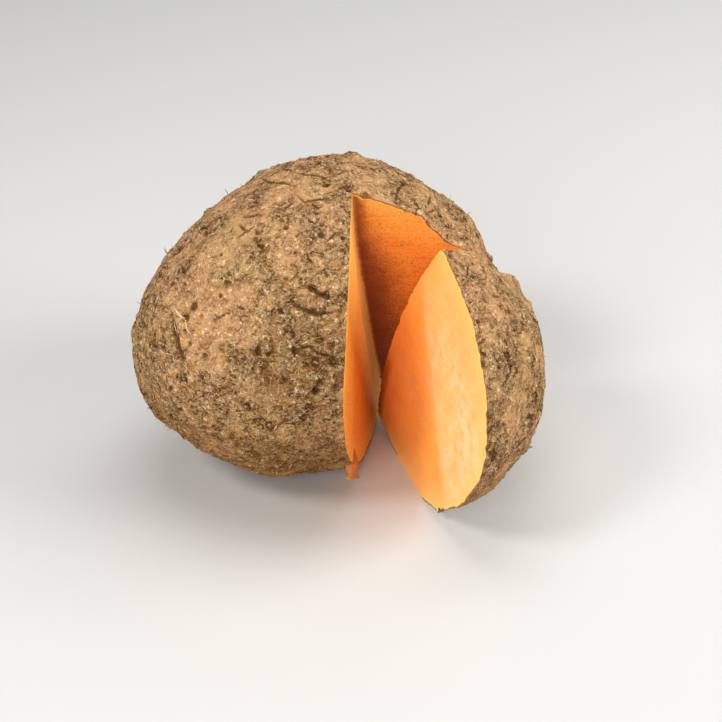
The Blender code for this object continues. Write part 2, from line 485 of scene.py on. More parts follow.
# %% Flakes and grit
FLAKE_LENGTH = 0.0075
FLAKE_HEIGHT = (0.00018, 0.00062)
GRIT_LENGTH = 0.0034
GRIT_HEIGHT = (0.00015, 0.00075)
PATCH_LENGTH = 0.021
PATCH_RANGE = (-0.30, 0.30)
PATCH_SPOTS = (
    (-135, 45, 0.040, -0.45),
    (-112, 22, 0.030, 0.15),
    (-158, 8, 0.035, 0.85),
    (-92, 42, 0.022, 0.45),
    (-95, -16, 0.040, 0.60),
    (-88, 12, 0.030, 0.50),
    (-140, -16, 0.035, 0.50),
    (-50, 8, 0.040, 0.30),
    (-58, 36, 0.034, -0.40),
)
RIPPLE_LENGTH = 0.0054
RIPPLE_HEIGHT = 0.00042
RIPPLE_BEND = 0.0045
RIPPLE_BEND_LENGTH = 0.020
RIPPLE_REACH = 0.085


def noise_field(points, length, octaves, offset):
    """Fractal noise whose lumps are about this long, at each point."""
    shift = Vector((offset, -offset, 2.0 * offset))
    return np.array([noise.fractal(point / length + shift, 1.0, 2.0, octaves) for point in points])


def flakes(points):
    """Sharp crests about this far apart, as a share of their height."""
    places = [point / FLAKE_LENGTH for point in points]
    crests = [noise.ridged_multi_fractal(place, 1.0, 2.0, 2, 1.0, 2.0) for place in places]
    return np.array(crests) - np.mean(crests)


def rougher(heights):
    """A height for each point, from the first on smooth skin to the second on rough skin."""
    smooth, rough = heights
    return smooth + (rough - smooth) * rough_patch


def ripples(points):
    """Faint growth rings round the crown, which fade out towards the girth."""
    away = distance_over_skin(CROWN)
    fade = np.clip(1.0 - away / RIPPLE_REACH, 0.0, 1.0)
    bent = away + RIPPLE_BEND * noise_field(points, RIPPLE_BEND_LENGTH, 2, offset=3.1)
    return RIPPLE_HEIGHT * fade * np.sin(2.0 * math.pi * bent / RIPPLE_LENGTH)


form_points = [ray * radius for ray, radius in zip(ray_vectors, form)]
patch = noise_field(form_points, PATCH_LENGTH, 3, offset=7.7)
patch = (patch - PATCH_RANGE[0]) / (PATCH_RANGE[1] - PATCH_RANGE[0])
for azimuth, elevation, reach, change in PATCH_SPOTS:
    patch += change * np.exp(-((distance_over_skin(direction(azimuth, elevation)) / reach) ** 2))
rough_patch = np.clip(patch, 0.0, 1.0)
grit_rise = rougher(GRIT_HEIGHT) * noise_field(form_points, GRIT_LENGTH, 2, offset=5.3)
flake_rise = rougher(FLAKE_HEIGHT) * flakes(form_points)
fine_rise = scar_rise + crack_rise + grit_rise + flake_rise + ripples(form_points)
print("fine relief from", mm(fine_rise.min()), "to", mm(fine_rise.max()))

# %% [markdown]
# ## The skin, closed at its base
#
# The yam is heavy, and its base is nearly flat where it stands. Heights near the ground are
# therefore eased towards it by a hyperbola instead of being cut off, and only
# a small flat is trimmed away later.

# %% Push the ball out to the skin
BASE_SOFTNESS = 0.0040
FLAT_DEPTH = 0.0005

skin = rays * (form + fine_rise)[:, None] + np.array(MIDDLE)
skin[:, 2] = (skin[:, 2] + np.hypot(skin[:, 2], BASE_SOFTNESS)) / 2.0 - FLAT_DEPTH
write_points(whole, skin)
skin_offsets = skin - np.array(MIDDLE)
skin_radii = np.linalg.norm(skin_offsets, axis=1)
skin_tree = tree_of([Vector(ray) for ray in skin_offsets / skin_radii[:, None]])


def skin_point(ray, lift):
    """A point this far above the skin along a ray from the yam's middle."""
    row = skin_tree.find(ray)[1]
    return MIDDLE + Vector(ray) * (skin_radii[row] + lift)


print("yam: height", mm(np.ptp(skin[:, 2])), "lowest point", mm(skin[:, 2].min()))

# %% [markdown]
# ## The knife
#
# The wedge was cut with two strokes that meet along one line. A cut through firm flesh isn't a
# perfect plane: the blade wanders by a fraction of a millimetre and drags the fibres. So the
# cutting tool is a prism whose two blades are fine grids, pushed in and out by noise, and
# torn aside a little where they meet. The same tool cuts both pieces, so their faces match.

# %% A prism with wavering blades
CUT_TOP = Vector((0.0148, -0.0293, 0.1667))
CUT_FOOT = Vector((0.0332, 0.0332, 0.0))
LEFT_CUT_AZIMUTHS = (-99.4, -91.3)
RIGHT_CUT_AZIMUTHS = (3.6, -2.6)
CUT_BOW = Vector((-0.0028, 0.0081, 0.0))
CUT_OVERRUN = 0.15
CUT_REACH = 0.24
BLADE_STEP = 0.0016
BLADE_FINE_REACH = 0.150
WANDER_LENGTH = 0.038
WANDER_HEIGHT = 0.00045
WANDER_START = 0.0075
DRAG_LENGTH = 0.010
DRAG_HEIGHT = 0.00005
TEAR_LENGTH = 0.004
TEAR_HEIGHT = 0.0008
TEAR_REACH = 0.004

cut_line = (CUT_FOOT - CUT_TOP).normalized()


def heading(azimuths, share):
    """Level direction of a cut at this share of the way up from the base."""
    return Vector(direction(azimuths[0] + (azimuths[1] - azimuths[0]) * share, 0.0))


def inner_line(share):
    """A point on the bowed line where the cuts meet, and how far it is torn aside."""
    point = CUT_FOOT.lerp(CUT_TOP, share) + CUT_BOW * max(0.0, 4.0 * share * (1.0 - share))
    outwards = heading(LEFT_CUT_AZIMUTHS, share) + heading(RIGHT_CUT_AZIMUTHS, share)
    rag = noise.fractal(point / TEAR_LENGTH, 1.0, 2.0, 2)
    return point, outwards.normalized() * TEAR_HEIGHT * rag


def wander(point):
    """How far the blade strays from its path here."""
    drift = WANDER_HEIGHT * noise.noise(point / WANDER_LENGTH)
    return drift + DRAG_HEIGHT * noise.fractal(point / DRAG_LENGTH, 1.0, 2.0, 2)


def blade_ring(share, steps):
    """The points round the prism at one height: out along a blade, back along the other."""
    inner, tear = inner_line(share)
    points = [inner + tear]
    blades = ((LEFT_CUT_AZIMUTHS, steps, 1.0), (RIGHT_CUT_AZIMUTHS, steps[::-1], -1.0))
    for azimuths, order, side in blades:
        outward = heading(azimuths, share)
        normal = outward.cross(cut_line).normalized() * side
        for step in order:
            point = inner + outward * step + tear * max(0.0, 1.0 - step / TEAR_REACH)
            points.append(point + normal * wander(point) * min(1.0, step / WANDER_START))
    return points


def knife_mesh():
    overall = 1.0 + 2.0 * CUT_OVERRUN
    rows = round((CUT_TOP - CUT_FOOT).length * overall / BLADE_STEP)
    fine = round(BLADE_FINE_REACH / BLADE_STEP)
    steps = [step * BLADE_STEP for step in range(1, fine + 1)] + [CUT_REACH]
    rings = [blade_ring(overall * row / rows - CUT_OVERRUN, steps) for row in range(rows + 1)]
    bm = bmesh.new()
    loft(bm, rings)
    print("knife:", rows, "rows of", len(rings[0]), "points")
    return mesh_from(bm, "knife")


knife = knife_mesh()

# %% [markdown]
# ## Shader maths as Python
#
# A finish is a network of nodes. Written node by node it is long and hard to read, so a
# small class wraps a socket: adding or multiplying two of them adds the Math node that
# does it. One method makes any other node.


# %% A socket that does arithmetic
class Wire:
    """An output socket of a node. Arithmetic on wires adds Math nodes to their tree."""

    def __init__(self, tree, socket):
        self.tree, self.socket = tree, socket

    @classmethod
    def node(cls, tree, kind, settings=None, sockets=None, output=0):
        """Adds any node: its settings first, then the values or wires of its sockets."""
        made = tree.nodes.new(kind)
        for name, value in (settings or {}).items():
            setattr(made, name, value)
        for name, value in (sockets or {}).items():
            if isinstance(value, Wire):
                tree.links.new(value.socket, made.inputs[name])
            else:
                made.inputs[name].default_value = value
        return cls(tree, made.outputs[output])

    def math(self, operation, *others):
        sockets = dict(enumerate((self, *others)))
        return Wire.node(self.tree, "ShaderNodeMath", {"operation": operation}, sockets)

    def __add__(self, other):
        return self.math("ADD", other)

    __radd__ = __add__

    def __mul__(self, other):
        return self.math("MULTIPLY", other)

    __rmul__ = __mul__

    def __sub__(self, other):
        return self.math("SUBTRACT", other)

    def __rsub__(self, other):
        return (self * -1.0) + other

    def between(self, low, high):
        """0 below low, 1 above high, and a smooth step from one to the other."""
        settings = {"interpolation_type": "SMOOTHSTEP"}
        sockets = {"Value": self, "From Min": low, "From Max": high}
        return Wire.node(self.tree, "ShaderNodeMapRange", settings, sockets)


# %% [markdown]
# Colours can't go through a Math node, which would turn them grey, so they are mixed by a Mix
# node. Every pattern reads the same point of the uncut yam, which each vertex remembers,
# so the pattern runs on from the tuber to the wedge as it did before the cut.


# %% Helpers for colours and patterns
def mix(first, second, share):
    """From one colour to another, as share goes from 0 to 1. Colours are sockets 6 and 7."""
    tree = share.tree
    settings = {"data_type": "RGBA", "blend_type": "MIX", "clamp_factor": True}
    return Wire.node(tree, "ShaderNodeMix", settings, {0: share, 6: first, 7: second}, output=2)


def layered(colour, layers):
    """A colour with others laid over it in turn, each as strongly as its share."""
    for tint, share in layers:
        colour = mix(colour, tint, share)
    return colour


def vector_math(operation, sockets, output=0):
    settings = {"operation": operation}
    return Wire.node(sockets[0].tree, "ShaderNodeVectorMath", settings, sockets, output)


def shaded(colour, light):
    """A colour made darker or lighter by a wire around 1."""
    return vector_math("SCALE", {0: colour, "Scale": light})


def remembered(tree, name, output="Fac"):
    return Wire.node(tree, "ShaderNodeAttribute", {"attribute_name": name}, output=output)


def stretched(place, x, y, z):
    """The place scaled along each axis, so that a pattern there is longer or shorter."""
    return vector_math("MULTIPLY", {0: place, 1: (x, y, z)})


def pattern(kind, place, length, output=0, **sockets):
    """A texture node whose features are about this many metres long."""
    sockets.update(Vector=place, Scale=1.0 / length)
    return Wire.node(place.tree, "ShaderNodeTex" + kind, None, sockets, output)


def grain(place, length, detail=2.0, rough=0.5):
    """Noise from 0 to 1."""
    return pattern("Noise", place, length, Detail=detail, Roughness=rough)


def curled(place, length, reach):
    """The place pushed about by noise, so that a pattern read there bends."""
    push = pattern("Noise", place, length, "Color", Detail=1.0)
    return vector_math("MULTIPLY_ADD", {0: push, 1: (reach, reach, reach), 2: place})


def seams(field, width):
    """1 along the lines where a noise field crosses a half, and 0 away from them."""
    return (field - 0.5).math("ABSOLUTE").between(width, 0.0)


def height_of(place):
    """How high a place was in the uncut yam, in metres."""
    return vector_math("DOT_PRODUCT", {0: place, 1: (0.0, 0.0, 1.0)}, output="Value")


def raised(bumps, strength, distance):
    sockets = {"Height": bumps, "Strength": strength, "Distance": distance}
    return Wire.node(bumps.tree, "ShaderNodeBump", None, sockets)


def new_finish(name):
    """An empty material and its tree of nodes."""
    made = bpy.data.materials.new(name)
    made.use_nodes = True
    made.node_tree.nodes.clear()
    return made, made.node_tree


def finished(made, sockets):
    """Ends a material with a Principled BSDF that takes these constants and wires."""
    tree = made.node_tree
    surface = Wire.node(tree, "ShaderNodeBsdfPrincipled", None, sockets, output="BSDF")
    ending = tree.nodes.new("ShaderNodeOutputMaterial")
    tree.links.new(surface.socket, ending.inputs["Surface"])
    return made


# %% [markdown]
# ## The skin's finish
#
# Dry yam skin is tan dust over brown bark, and its pits are dark. The mesh stores how
# high each point stands and where the pits are, so the colour follows the real relief. Noise
# adds what is too fine for the mesh: specks, grit, curled crests and small ring scars, which
# crowd in clumps where the skin is rough. The skin is browner and darker towards the ground, and
# one broad stain is darker still. All of it is a stack of thin layers of colour.

# %% Dusty skin
TAN = (0.470, 0.264, 0.114, 1.0)
PALE_TAN = (0.760, 0.540, 0.300, 1.0)
PINK_TAN = (0.468, 0.250, 0.120, 1.0)
GREY_TAN = (0.410, 0.246, 0.114, 1.0)
OCHRE = (0.560, 0.320, 0.070, 1.0)
BROWN = (0.260, 0.112, 0.027, 1.0)
STAIN_BROWN = (0.190, 0.082, 0.019, 1.0)
LOW_BROWN = (0.360, 0.165, 0.045, 1.0)
UMBER = (0.105, 0.042, 0.009, 1.0)
STAIN_SPOT = skin_point(direction(-94.0, 12.0), 0.0)


def dusty_skin():
    made, tree = new_finish("dusty_skin")
    place = remembered(tree, "yam_place", "Vector")
    height = remembered(tree, "relief")
    pit = remembered(tree, "pit")
    patch = remembered(tree, "rough_patch")
    stump_wood = remembered(tree, "stump_wood")
    bent = curled(place, 0.006, 0.004)

    broad = grain(place, 0.045, 3.0, 0.6)
    blotch = grain(bent, 0.010, 4.0, 0.65)
    mottle = grain(bent, 0.0030, 3.0, 0.7)
    grit = grain(place, 0.0012, 2.0, 0.75)
    crumbs = grain(place, 0.0020, 2.0, 0.65)
    crests = seams(grain(bent, 0.0036, 1.5, 0.6), 0.075) * mottle.between(0.40, 0.56)
    folds = seams(grain(stretched(bent, 1.0, 1.0, 1.5), 0.0042, 1.5, 0.6), 0.055)
    folds = folds * crumbs.between(0.60, 0.44)
    hollows = grain(stretched(bent, 1.0, 1.0, 1.3), 0.0050, 2.0, 0.65).between(0.590, 0.680)
    spots = pattern("Voronoi", bent, 0.0085)
    ring = spots.between(0.32, 0.27) * spots.between(0.16, 0.21) * blotch.between(0.44, 0.52)

    # 1 near the ground: the skin is browner and darker there.
    low = height_of(place).between(0.085, 0.030)
    stain = vector_math("DISTANCE", {0: place, 1: tuple(STAIN_SPOT)}, output="Value")
    stain = (stain + (broad - 0.5) * 0.05 + (blotch - 0.5) * 0.04).between(0.040, 0.010)
    busy = grain(bent, 0.0065, 2.0, 0.5).between(0.38, 0.60)
    rough = (0.36 + patch * 0.74 + stain * 0.12 + low * 0.22) * (0.50 + busy * 0.80)

    dust = mottle * 0.35 + crumbs * 0.35 + grit * 0.3
    layers = (
        (PINK_TAN, broad.between(0.48, 0.60)),
        (GREY_TAN, (1.0 - broad).between(0.50, 0.64) * 0.8),
        (BROWN, blotch.between(0.48, 0.66) * rough * 0.60),
        (BROWN, low * (0.34 + blotch.between(0.40, 0.60) * 0.36)),
        (STAIN_BROWN, stain * (0.36 + blotch.between(0.40, 0.60) * 0.45)),
        (BROWN, (mottle * 0.6 + crumbs * 0.4).between(0.505, 0.425) * rough * 0.72),
        (PALE_TAN, crests * rough * 0.80),
        (UMBER, folds * rough * 0.62),
        (UMBER, hollows * rough * 0.85),
        (UMBER, ring * rough * 0.74),
        (UMBER, (mottle * 0.5 + grit * 0.5).between(0.440, 0.370) * rough * 0.90),
        (PALE_TAN, dust.between(0.545, 0.620) * 0.85),
        (OCHRE, (1.0 - crumbs * 0.5 - blotch * 0.5).between(0.570, 0.620) * 0.55),
        (UMBER, (pit + (blotch - 0.5) * 0.7).between(0.18, 0.72) * 0.82),
        (LOW_BROWN, low * 0.42),
        (PALE_TAN, stump_wood * 0.65),
    )
    light = 0.59 + grit * 0.86 + height.between(-0.6, 0.6) * 0.08

    lifted = crests * 0.6 + mottle * 0.9 + grit * 0.6 + crumbs * 0.6
    bumps = (lifted - folds * 0.6 - hollows * 0.8 - ring * 0.5) * rough
    sockets = {
        "Base Color": shaded(layered(TAN, layers), light),
        "Roughness": 0.92,
        "Specular IOR Level": 0.12,
        "Normal": raised(bumps, 1.0, 0.0019),
    }
    return finished(made, sockets)


# %% [markdown]
# ## The flesh's finish
#
# Fresh yam flesh is orange, with fine fibres that run up the corm, dark specks, faint drag
# marks of the blade, and a thin brown line where the skin was cut through. The notch and the
# wedge get shaded and lit copies of one flesh: painted shade makes the notch a deeper orange,
# and painted light makes the wedge's face a light yellow. A painted shadow, laid where the
# tuber's shadow falls across the wedge's face, makes the flesh there deep orange with blotches
# of rust. Towards the skin the flesh is yellower, partly its own colour and partly a painted
# highlight. Where the two cuts meet there is painted shade: the right face of the notch is red
# brown, its left one has a dull olive tan strip, and low on the wedge's edge it is dark red.
# Light passes a little way into flesh, so it scatters some. The torn tab is duller.

# %% Orange flesh
RED_BROWN = (0.225, 0.044, 0.011, 1.0)
EDGE_SHADE_RED = (0.320, 0.045, 0.016, 1.0)
DEEP_ORANGE = (0.965, 0.392, 0.062, 1.0)
BRIGHT_ORANGE = (0.985, 0.470, 0.085, 1.0)
GOLDEN_ORANGE = (0.950, 0.360, 0.061, 1.0)
YELLOW_ORANGE = (0.990, 0.540, 0.140, 1.0)
PALE_YELLOW = (0.935, 0.490, 0.180, 1.0)
CREAM = (0.945, 0.635, 0.365, 1.0)
CUT_BROWN = (0.240, 0.115, 0.035, 1.0)
RUST = (0.860, 0.215, 0.045, 1.0)
OLIVE_TAN = (0.570, 0.310, 0.085, 1.0)
TORN_ORANGE = (0.460, 0.130, 0.022, 1.0)
TORN_TAN = (0.460, 0.195, 0.042, 1.0)
FLESH_SCATTER = (1.0, 0.42, 0.14)


def orange_flesh(name, moist_colour, lit_colour, blush, core_darkness, speckle=0.0, edge_shade_strength=0.0):
    """Flesh between two colours, blotched with blush, with painted shade near where the cuts meet.
    """
    made, tree = new_finish(name)
    place = remembered(tree, "yam_place", "Vector")
    depth = remembered(tree, "depth")
    core = remembered(tree, "core")
    moist = remembered(tree, "moist")
    right = remembered(tree, "right_side")
    up = height_of(place)
    bent = curled(place, 0.016, 0.005)

    cloud = grain(bent, 0.026, 3.0, 0.6)
    blotch = grain(bent, 0.0085, 4.0, 0.65)
    fibres = grain(stretched(place, 1.0, 1.0, 0.35), 0.0030, 3.0, 0.65)
    high = up.between(0.095, 0.145)
    climb = up.between(0.090, 0.155)
    specks = grain(stretched(place, 1.0, 1.0, 0.8), 0.0011, 2.0, 0.7)
    flecks = grain(stretched(place, 1.0, 1.0, 0.6), 0.0024, 2.0, 0.6)
    drag = grain(stretched(place, 0.12, 0.12, 1.0), 0.0015, 2.0, 0.6)
    light = 1.0 + (specks - 0.5) * speckle + (flecks - 0.5) * 0.16
    light = light + (drag - 0.5) * (0.10 + speckle * 0.30)

    # Painted shadow: the deeper colour on the shadowed side of a plane, with more of it near the
    # line where the cuts meet.
    shadow_and_core = moist + core.between(0.024, 0.002) * 0.45
    ragged = shadow_and_core + (cloud - 0.5) * 0.7 + (blotch - 0.5) * 0.6 + (fibres - 0.5) * 0.25
    paled = (blotch * 0.5 + cloud * 0.5).between(0.47, 0.62) * (1.0 - moist * 0.6)
    veins = blotch * 0.6 + fibres * 0.15 + specks * 0.25
    rusty = moist * (blotch * 0.6 + flecks * 0.4).between(0.48, 0.62)
    # Painted shade where the cuts meet, wider lower down: red brown on the right face of the notch
    # and a dull olive tan strip on its left face. core_darkness sets how strong it is.
    shade = core + climb * 0.020 + (blotch - 0.5) * 0.014 + (specks - 0.5) * 0.010
    strip = (core + (fibres - 0.5) * 0.006).between(0.020, 0.014) * (1.0 - right)
    corner = core + (blotch - 0.5) * 0.006
    # Painted shade low along the line where the cuts meet, in dark red. Only the wedge's flesh
    # uses it.
    edge_shade = corner.between(0.0110, 0.0030) * up.between(0.066, 0.044)
    rim = depth + (fibres - 0.5) * 0.0012
    layers = (
        (moist_colour, ragged.between(0.18, 0.78)),
        (moist_colour, high * 0.38),
        (blush, paled * (0.60 - high * 0.55)),
        (moist_colour, veins.between(0.49, 0.39) * 0.45),
        (moist_colour, flecks.between(0.50, 0.68) * 0.30),
        (RUST, rusty * 0.45),
        (RED_BROWN, specks.between(0.42, 0.28) * speckle * 0.36),
        # Yellower towards the skin: partly the flesh's own colour, partly a painted highlight
        # where the outer flesh catches more light.
        (YELLOW_ORANGE, 0.50 - depth.between(0.001, 0.018) * 0.50),
        (RED_BROWN, shade.between(0.031, 0.006) * right * core_darkness),
        (OLIVE_TAN, strip * core_darkness * 0.75),
        (RED_BROWN, corner.between(0.0090, 0.0010) * right * core_darkness * 0.85),
        (EDGE_SHADE_RED, edge_shade * edge_shade_strength),
        (YELLOW_ORANGE, rim.between(0.0030, 0.0010)),
        (CUT_BROWN, rim.between(0.0012, 0.0003)),
    )

    bumps = fibres * 0.2 + specks * 0.3 + blotch * 0.6
    sockets = {
        "Base Color": shaded(layered(lit_colour, layers), light),
        "Roughness": 0.45 + fibres * 0.25,
        "Specular IOR Level": 0.32,
        "Subsurface Weight": 0.20,
        "Subsurface Radius": FLESH_SCATTER,
        "Subsurface Scale": 0.003,
        "Normal": raised(bumps, 0.5, 0.0007),
    }
    return finished(made, sockets)


skin_finish = dusty_skin()
# The notch and the wedge get shaded and lit copies of one flesh: the notch's is painted a deeper
# orange, as in shade, and the wedge's paler, as in light.
moist_flesh = orange_flesh(
    "moist_flesh", DEEP_ORANGE, BRIGHT_ORANGE, YELLOW_ORANGE, core_darkness=0.88, speckle=0.90
)
lit_wedge_flesh = orange_flesh(
    "lit_wedge_flesh", GOLDEN_ORANGE, PALE_YELLOW, CREAM, core_darkness=0.12, speckle=0.05, edge_shade_strength=0.80
)
torn_flesh = orange_flesh("torn_flesh", TORN_ORANGE, TORN_TAN, TORN_TAN, core_darkness=0.95)
for finish in (skin_finish, moist_flesh, lit_wedge_flesh, torn_flesh):
    print("finish:", finish.name, len(finish.node_tree.nodes), "nodes")

# %% [markdown]
# ## Cutting
#
# Both pieces are cut from the same whole yam. The tuber is the yam without the
# prism, and the wedge is what the prism holds. The ground then trims a small flat under each.
# The wedge is cut where it grew, and the ground is brought to it the way the wedge will
# be turned, so that every vertex can remember its place in the uncut yam first.

# %% Cut the tuber and the wedge
WEDGE_SHIFT = Vector((0.0460, -0.0484, -0.0071))
WEDGE_TURN = (9.5, 2.9, 27.6)
GROUND_SIZE = 1.0

wedge_pose = (
    Matrix.Translation(CUT_TOP + WEDGE_SHIFT)
    @ Euler([math.radians(angle) for angle in WEDGE_TURN]).to_matrix().to_4x4()
    @ Matrix.Translation(-CUT_TOP)
)


def ground_mesh():
    bm = bmesh.new()
    bmesh.ops.create_cube(bm, size=GROUND_SIZE)
    bmesh.ops.translate(bm, verts=bm.verts, vec=(0.0, 0.0, -GROUND_SIZE / 2.0))
    return mesh_from(bm, "ground")


def in_scene(name, mesh):
    thing = bpy.data.objects.new(name, mesh)
    bpy.context.scene.collection.objects.link(thing)
    return thing


def two_finishes(mesh, flesh):
    """A copy of a mesh that can be skin and flesh."""
    made = mesh.copy()
    for finish in (skin_finish, flesh):
        made.materials.append(finish)
    return made


def carved(name, flesh, cuts):
    """A copy of the whole yam after these cuts: a tool, an operation and a place for each."""
    piece = in_scene(name, two_finishes(whole, flesh))
    tools = []
    for shape, operation, where in cuts:
        tool = in_scene("tool", two_finishes(shape, flesh))
        tool.matrix_world = where
        tools.append(tool)
        boolean = piece.modifiers.new("cut", "BOOLEAN")
        boolean.object, boolean.operation, boolean.solver = tool, operation, "MANIFOLD"
    evaluated = piece.evaluated_get(bpy.context.evaluated_depsgraph_get())
    piece.data = bpy.data.meshes.new_from_object(evaluated)
    piece.modifiers.clear()
    for tool in tools:
        bpy.data.objects.remove(tool)
    return piece


knife.polygons.foreach_set("material_index", [1] * len(knife.polygons))
ground = ground_mesh()
still = Matrix.Identity(4)
tuber_cuts = ((knife, "DIFFERENCE", still), (ground, "DIFFERENCE", still))
wedge_cuts = ((knife, "INTERSECT", still), (ground, "DIFFERENCE", wedge_pose.inverted()))
tuber = carved("yam_tuber", moist_flesh, tuber_cuts)
wedge = carved("yam_wedge", lit_wedge_flesh, wedge_cuts)
for piece in (tuber, wedge):
    piece.data.calc_loop_triangles()
    print(piece.name, len(piece.data.loop_triangles), "triangles")

# %% [markdown]
# ## What each vertex remembers
#
# The finishes read what is stored on the vertices: the vertex's place in the uncut yam, the
# height of the fine relief there, whether it is in a pit, and how rough the skin is. For the
# flesh, they read how deep it lies, how far it is from the line where the cuts
# meet and on which side of it, and how far it lies in a painted shadow. The edge between skin and
# flesh is marked sharp, because the knife left it so, and everything else is shaded smooth.


# %% Store places, relief and depth
# A painted shadow: on one side of this plane the flesh is deeper orange, where the tuber's shadow
# falls across the wedge's face.
SHADOW_WAY = direction(90.0, -33.3)
SHADOW_START = -0.085
SHADOW_REACH = 0.015
SIDE_AZIMUTH = -48.0
SKIN_DEPTH = 0.0004
CORNER_ANGLE = 35.0


def remember(piece, **stored):
    """Stores a number or a vector for every vertex, under each name."""
    for name, values in stored.items():
        kind, field = ("FLOAT_VECTOR", "vector") if values.ndim == 2 else ("FLOAT", "value")
        attribute = piece.data.attributes.new(name, kind, "POINT")
        attribute.data.foreach_set(field, np.asarray(values, np.float32).ravel())


def remember_flesh(piece, points, depth):
    """Stores what the flesh's finish reads, for points in the uncut yam."""
    start, rise = np.array(CUT_FOOT), np.array(CUT_TOP - CUT_FOOT)
    share = np.clip((points - start) @ rise / (rise @ rise), 0.0, 1.0)[:, None]
    from_core = points - (start + share * rise + 4.0 * share * (1.0 - share) * np.array(CUT_BOW))
    around = np.degrees(np.arctan2(from_core[:, 1], from_core[:, 0]))
    remember(
        piece,
        yam_place=points,
        depth=depth,
        core=np.linalg.norm(from_core, axis=1),
        right_side=np.where(around > SIDE_AZIMUTH, 1.0, 0.0),
        moist=np.clip((points @ SHADOW_WAY - SHADOW_START) / SHADOW_REACH, 0.0, 1.0),
    )


def remember_all(piece):
    points = read_points(piece.data)
    offsets = points - np.array(MIDDLE)
    radii = np.linalg.norm(offsets, axis=1)
    rows = [skin_tree.find(Vector(ray))[1] for ray in offsets / radii[:, None]]
    depth = np.clip(skin_radii[rows] - radii, 0.0, None)
    depth[depth < SKIN_DEPTH] = 0.0
    remember_flesh(piece, points, depth)
    remember(
        piece,
        relief=fine_rise[rows] * 1000.0,
        pit=np.maximum(scar_mark, crack_mark)[rows],
        rough_patch=rough_patch[rows],
        stump_wood=stump_top[rows],
    )


def sharpen_cuts(piece):
    """Keeps the rim of each cut and the line where two cuts meet sharp."""
    bm = bmesh.new()
    bm.from_mesh(piece.data)
    count = 0
    for face in bm.faces:
        face.smooth = True
    for edge in bm.edges:
        if len(edge.link_faces) != 2:
            continue
        first, second = edge.link_faces
        rim = first.material_index != second.material_index
        bend = edge.calc_face_angle(0.0)
        corner = first.material_index == 1 and bend > math.radians(CORNER_ANGLE)
        edge.smooth = not (rim or corner)
        count += rim or corner
    bm.to_mesh(piece.data)
    bm.free()
    print(piece.name, "sharp edges:", count)


for piece in (tuber, wedge):
    remember_all(piece)
    sharpen_cuts(piece)

# %% [markdown]
# ## Dry roots
#
# A few feeding roots are still on the skin: stubs that stand up, which show as spikes
# against the light, and threads that lie along it. Each is a thin tube that narrows to a
# tip. They could be hair, but a tube mesh is a plain solid that any program can read. A
# root belongs to whichever piece its foot is on, and one that would cross a cut is left out.

# %% Tubes along paths
ROOT_SIDES = 5
LONG_ROOTS = (
    (((-139.0, 22.2), (-136.5, 21.2), (-133.4, 19.8), (-129.5, 16.6)), 0.00060),
    (((-138.4, 18.4), (-137.2, 16.4), (-135.4, 14.8)), 0.00036),
    (((-96.0, 21.0), (-92.0, 23.0), (-86.0, 23.6)), 0.00030),
)
STUBS = (
    (-149.4, -22.0, 0.0030, 0.00050),
    (-148.0, -23.0, 0.0024, 0.00045),
    (-145.0, -24.5, 0.0026, 0.00050),
    (-141.8, -25.5, 0.0028, 0.00045),
    (-136.0, -25.0, 0.0024, 0.00040),
    (166.1, 51.3, 0.0042, 0.00040),
    (179.8, 23.6, 0.0052, 0.00060),
    (38.9, 25.1, 0.0044, 0.00040),
    (-172.1, 7.8, 0.0030, 0.00045),
    (-168.8, 3.6, 0.0030, 0.00045),
    (-65.0, 0.9, 0.0036, 0.00170),
)
STUB_COUNT = 260
STUB_LENGTH = (0.0008, 0.0026)
STUB_RADIUS = (0.00022, 0.00045)
THREAD_COUNT = 90
THREAD_LENGTH = (0.003, 0.011)
THREAD_RADIUS = (0.00014, 0.00026)
THREAD_STEP = 0.0008
THREAD_BEND = (-260.0, 260.0)
THREAD_LIFT = (0.0002, 0.0016)
THREAD_SINK = 0.0004
STUB_NUDGE, THREAD_NUDGE = 0.05, 0.09
STUB_SINK = 0.0006
STUB_LEAN = 0.35
STUB_RISES = (0.0, 0.35, 0.7, 1.0)
LONG_ROOT_LIFT = 0.0006
LONG_ROOT_WAVE = 0.0002
LONG_ROOT_TURN = 0.9
TIP_SHARE = 0.25
LOWEST_FOOT = 0.004
ROOT_SEED = 67
SKIN_REACH = 0.0012


def tube(bm, points, radius):
    """A tube through the points that narrows to a tip at its last one."""
    rings = []
    turns = [2.0 * math.pi * corner / ROOT_SIDES for corner in range(ROOT_SIDES)]
    for step, point in enumerate(points):
        way = points[min(step + 1, len(points) - 1)] - points[max(step - 1, 0)]
        side = way.orthogonal().normalized()
        over = way.cross(side).normalized()
        size = radius * (1.0 - (1.0 - TIP_SHARE) * step / (len(points) - 1))
        rings.append([point + (side * math.cos(t) + over * math.sin(t)) * size for t in turns])
    loft(bm, rings)


def stub_path(ray, length, draw):
    lean = stray(draw, STUB_LEAN)
    foot = skin_point(ray, -STUB_SINK)
    return [foot + (ray + lean * rise) * (length * rise) for rise in STUB_RISES]


def thread_path(centre, length, draw):
    """A thread that lies on the skin and lifts off it towards its tip."""
    way = stray(draw, 1.0)
    bend, lift = draw.uniform(*THREAD_BEND), draw.uniform(*THREAD_LIFT)
    steps = max(4, round(length / THREAD_STEP))
    path, spot = [], centre
    for step in range(steps + 1):
        share = step / steps
        path.append(skin_point(spot, lift * share**2 - THREAD_SINK * (1.0 - share)))
        spot, way = walk(spot, way, bend * THREAD_STEP, THREAD_STEP)
    return path


def long_path(points):
    path = []
    for step, spot in enumerate(smooth_path(points, THREAD_STEP)):
        wave = LONG_ROOT_WAVE * math.sin(step * LONG_ROOT_TURN)
        path.append(skin_point(spot, LONG_ROOT_LIFT + wave))
    return path


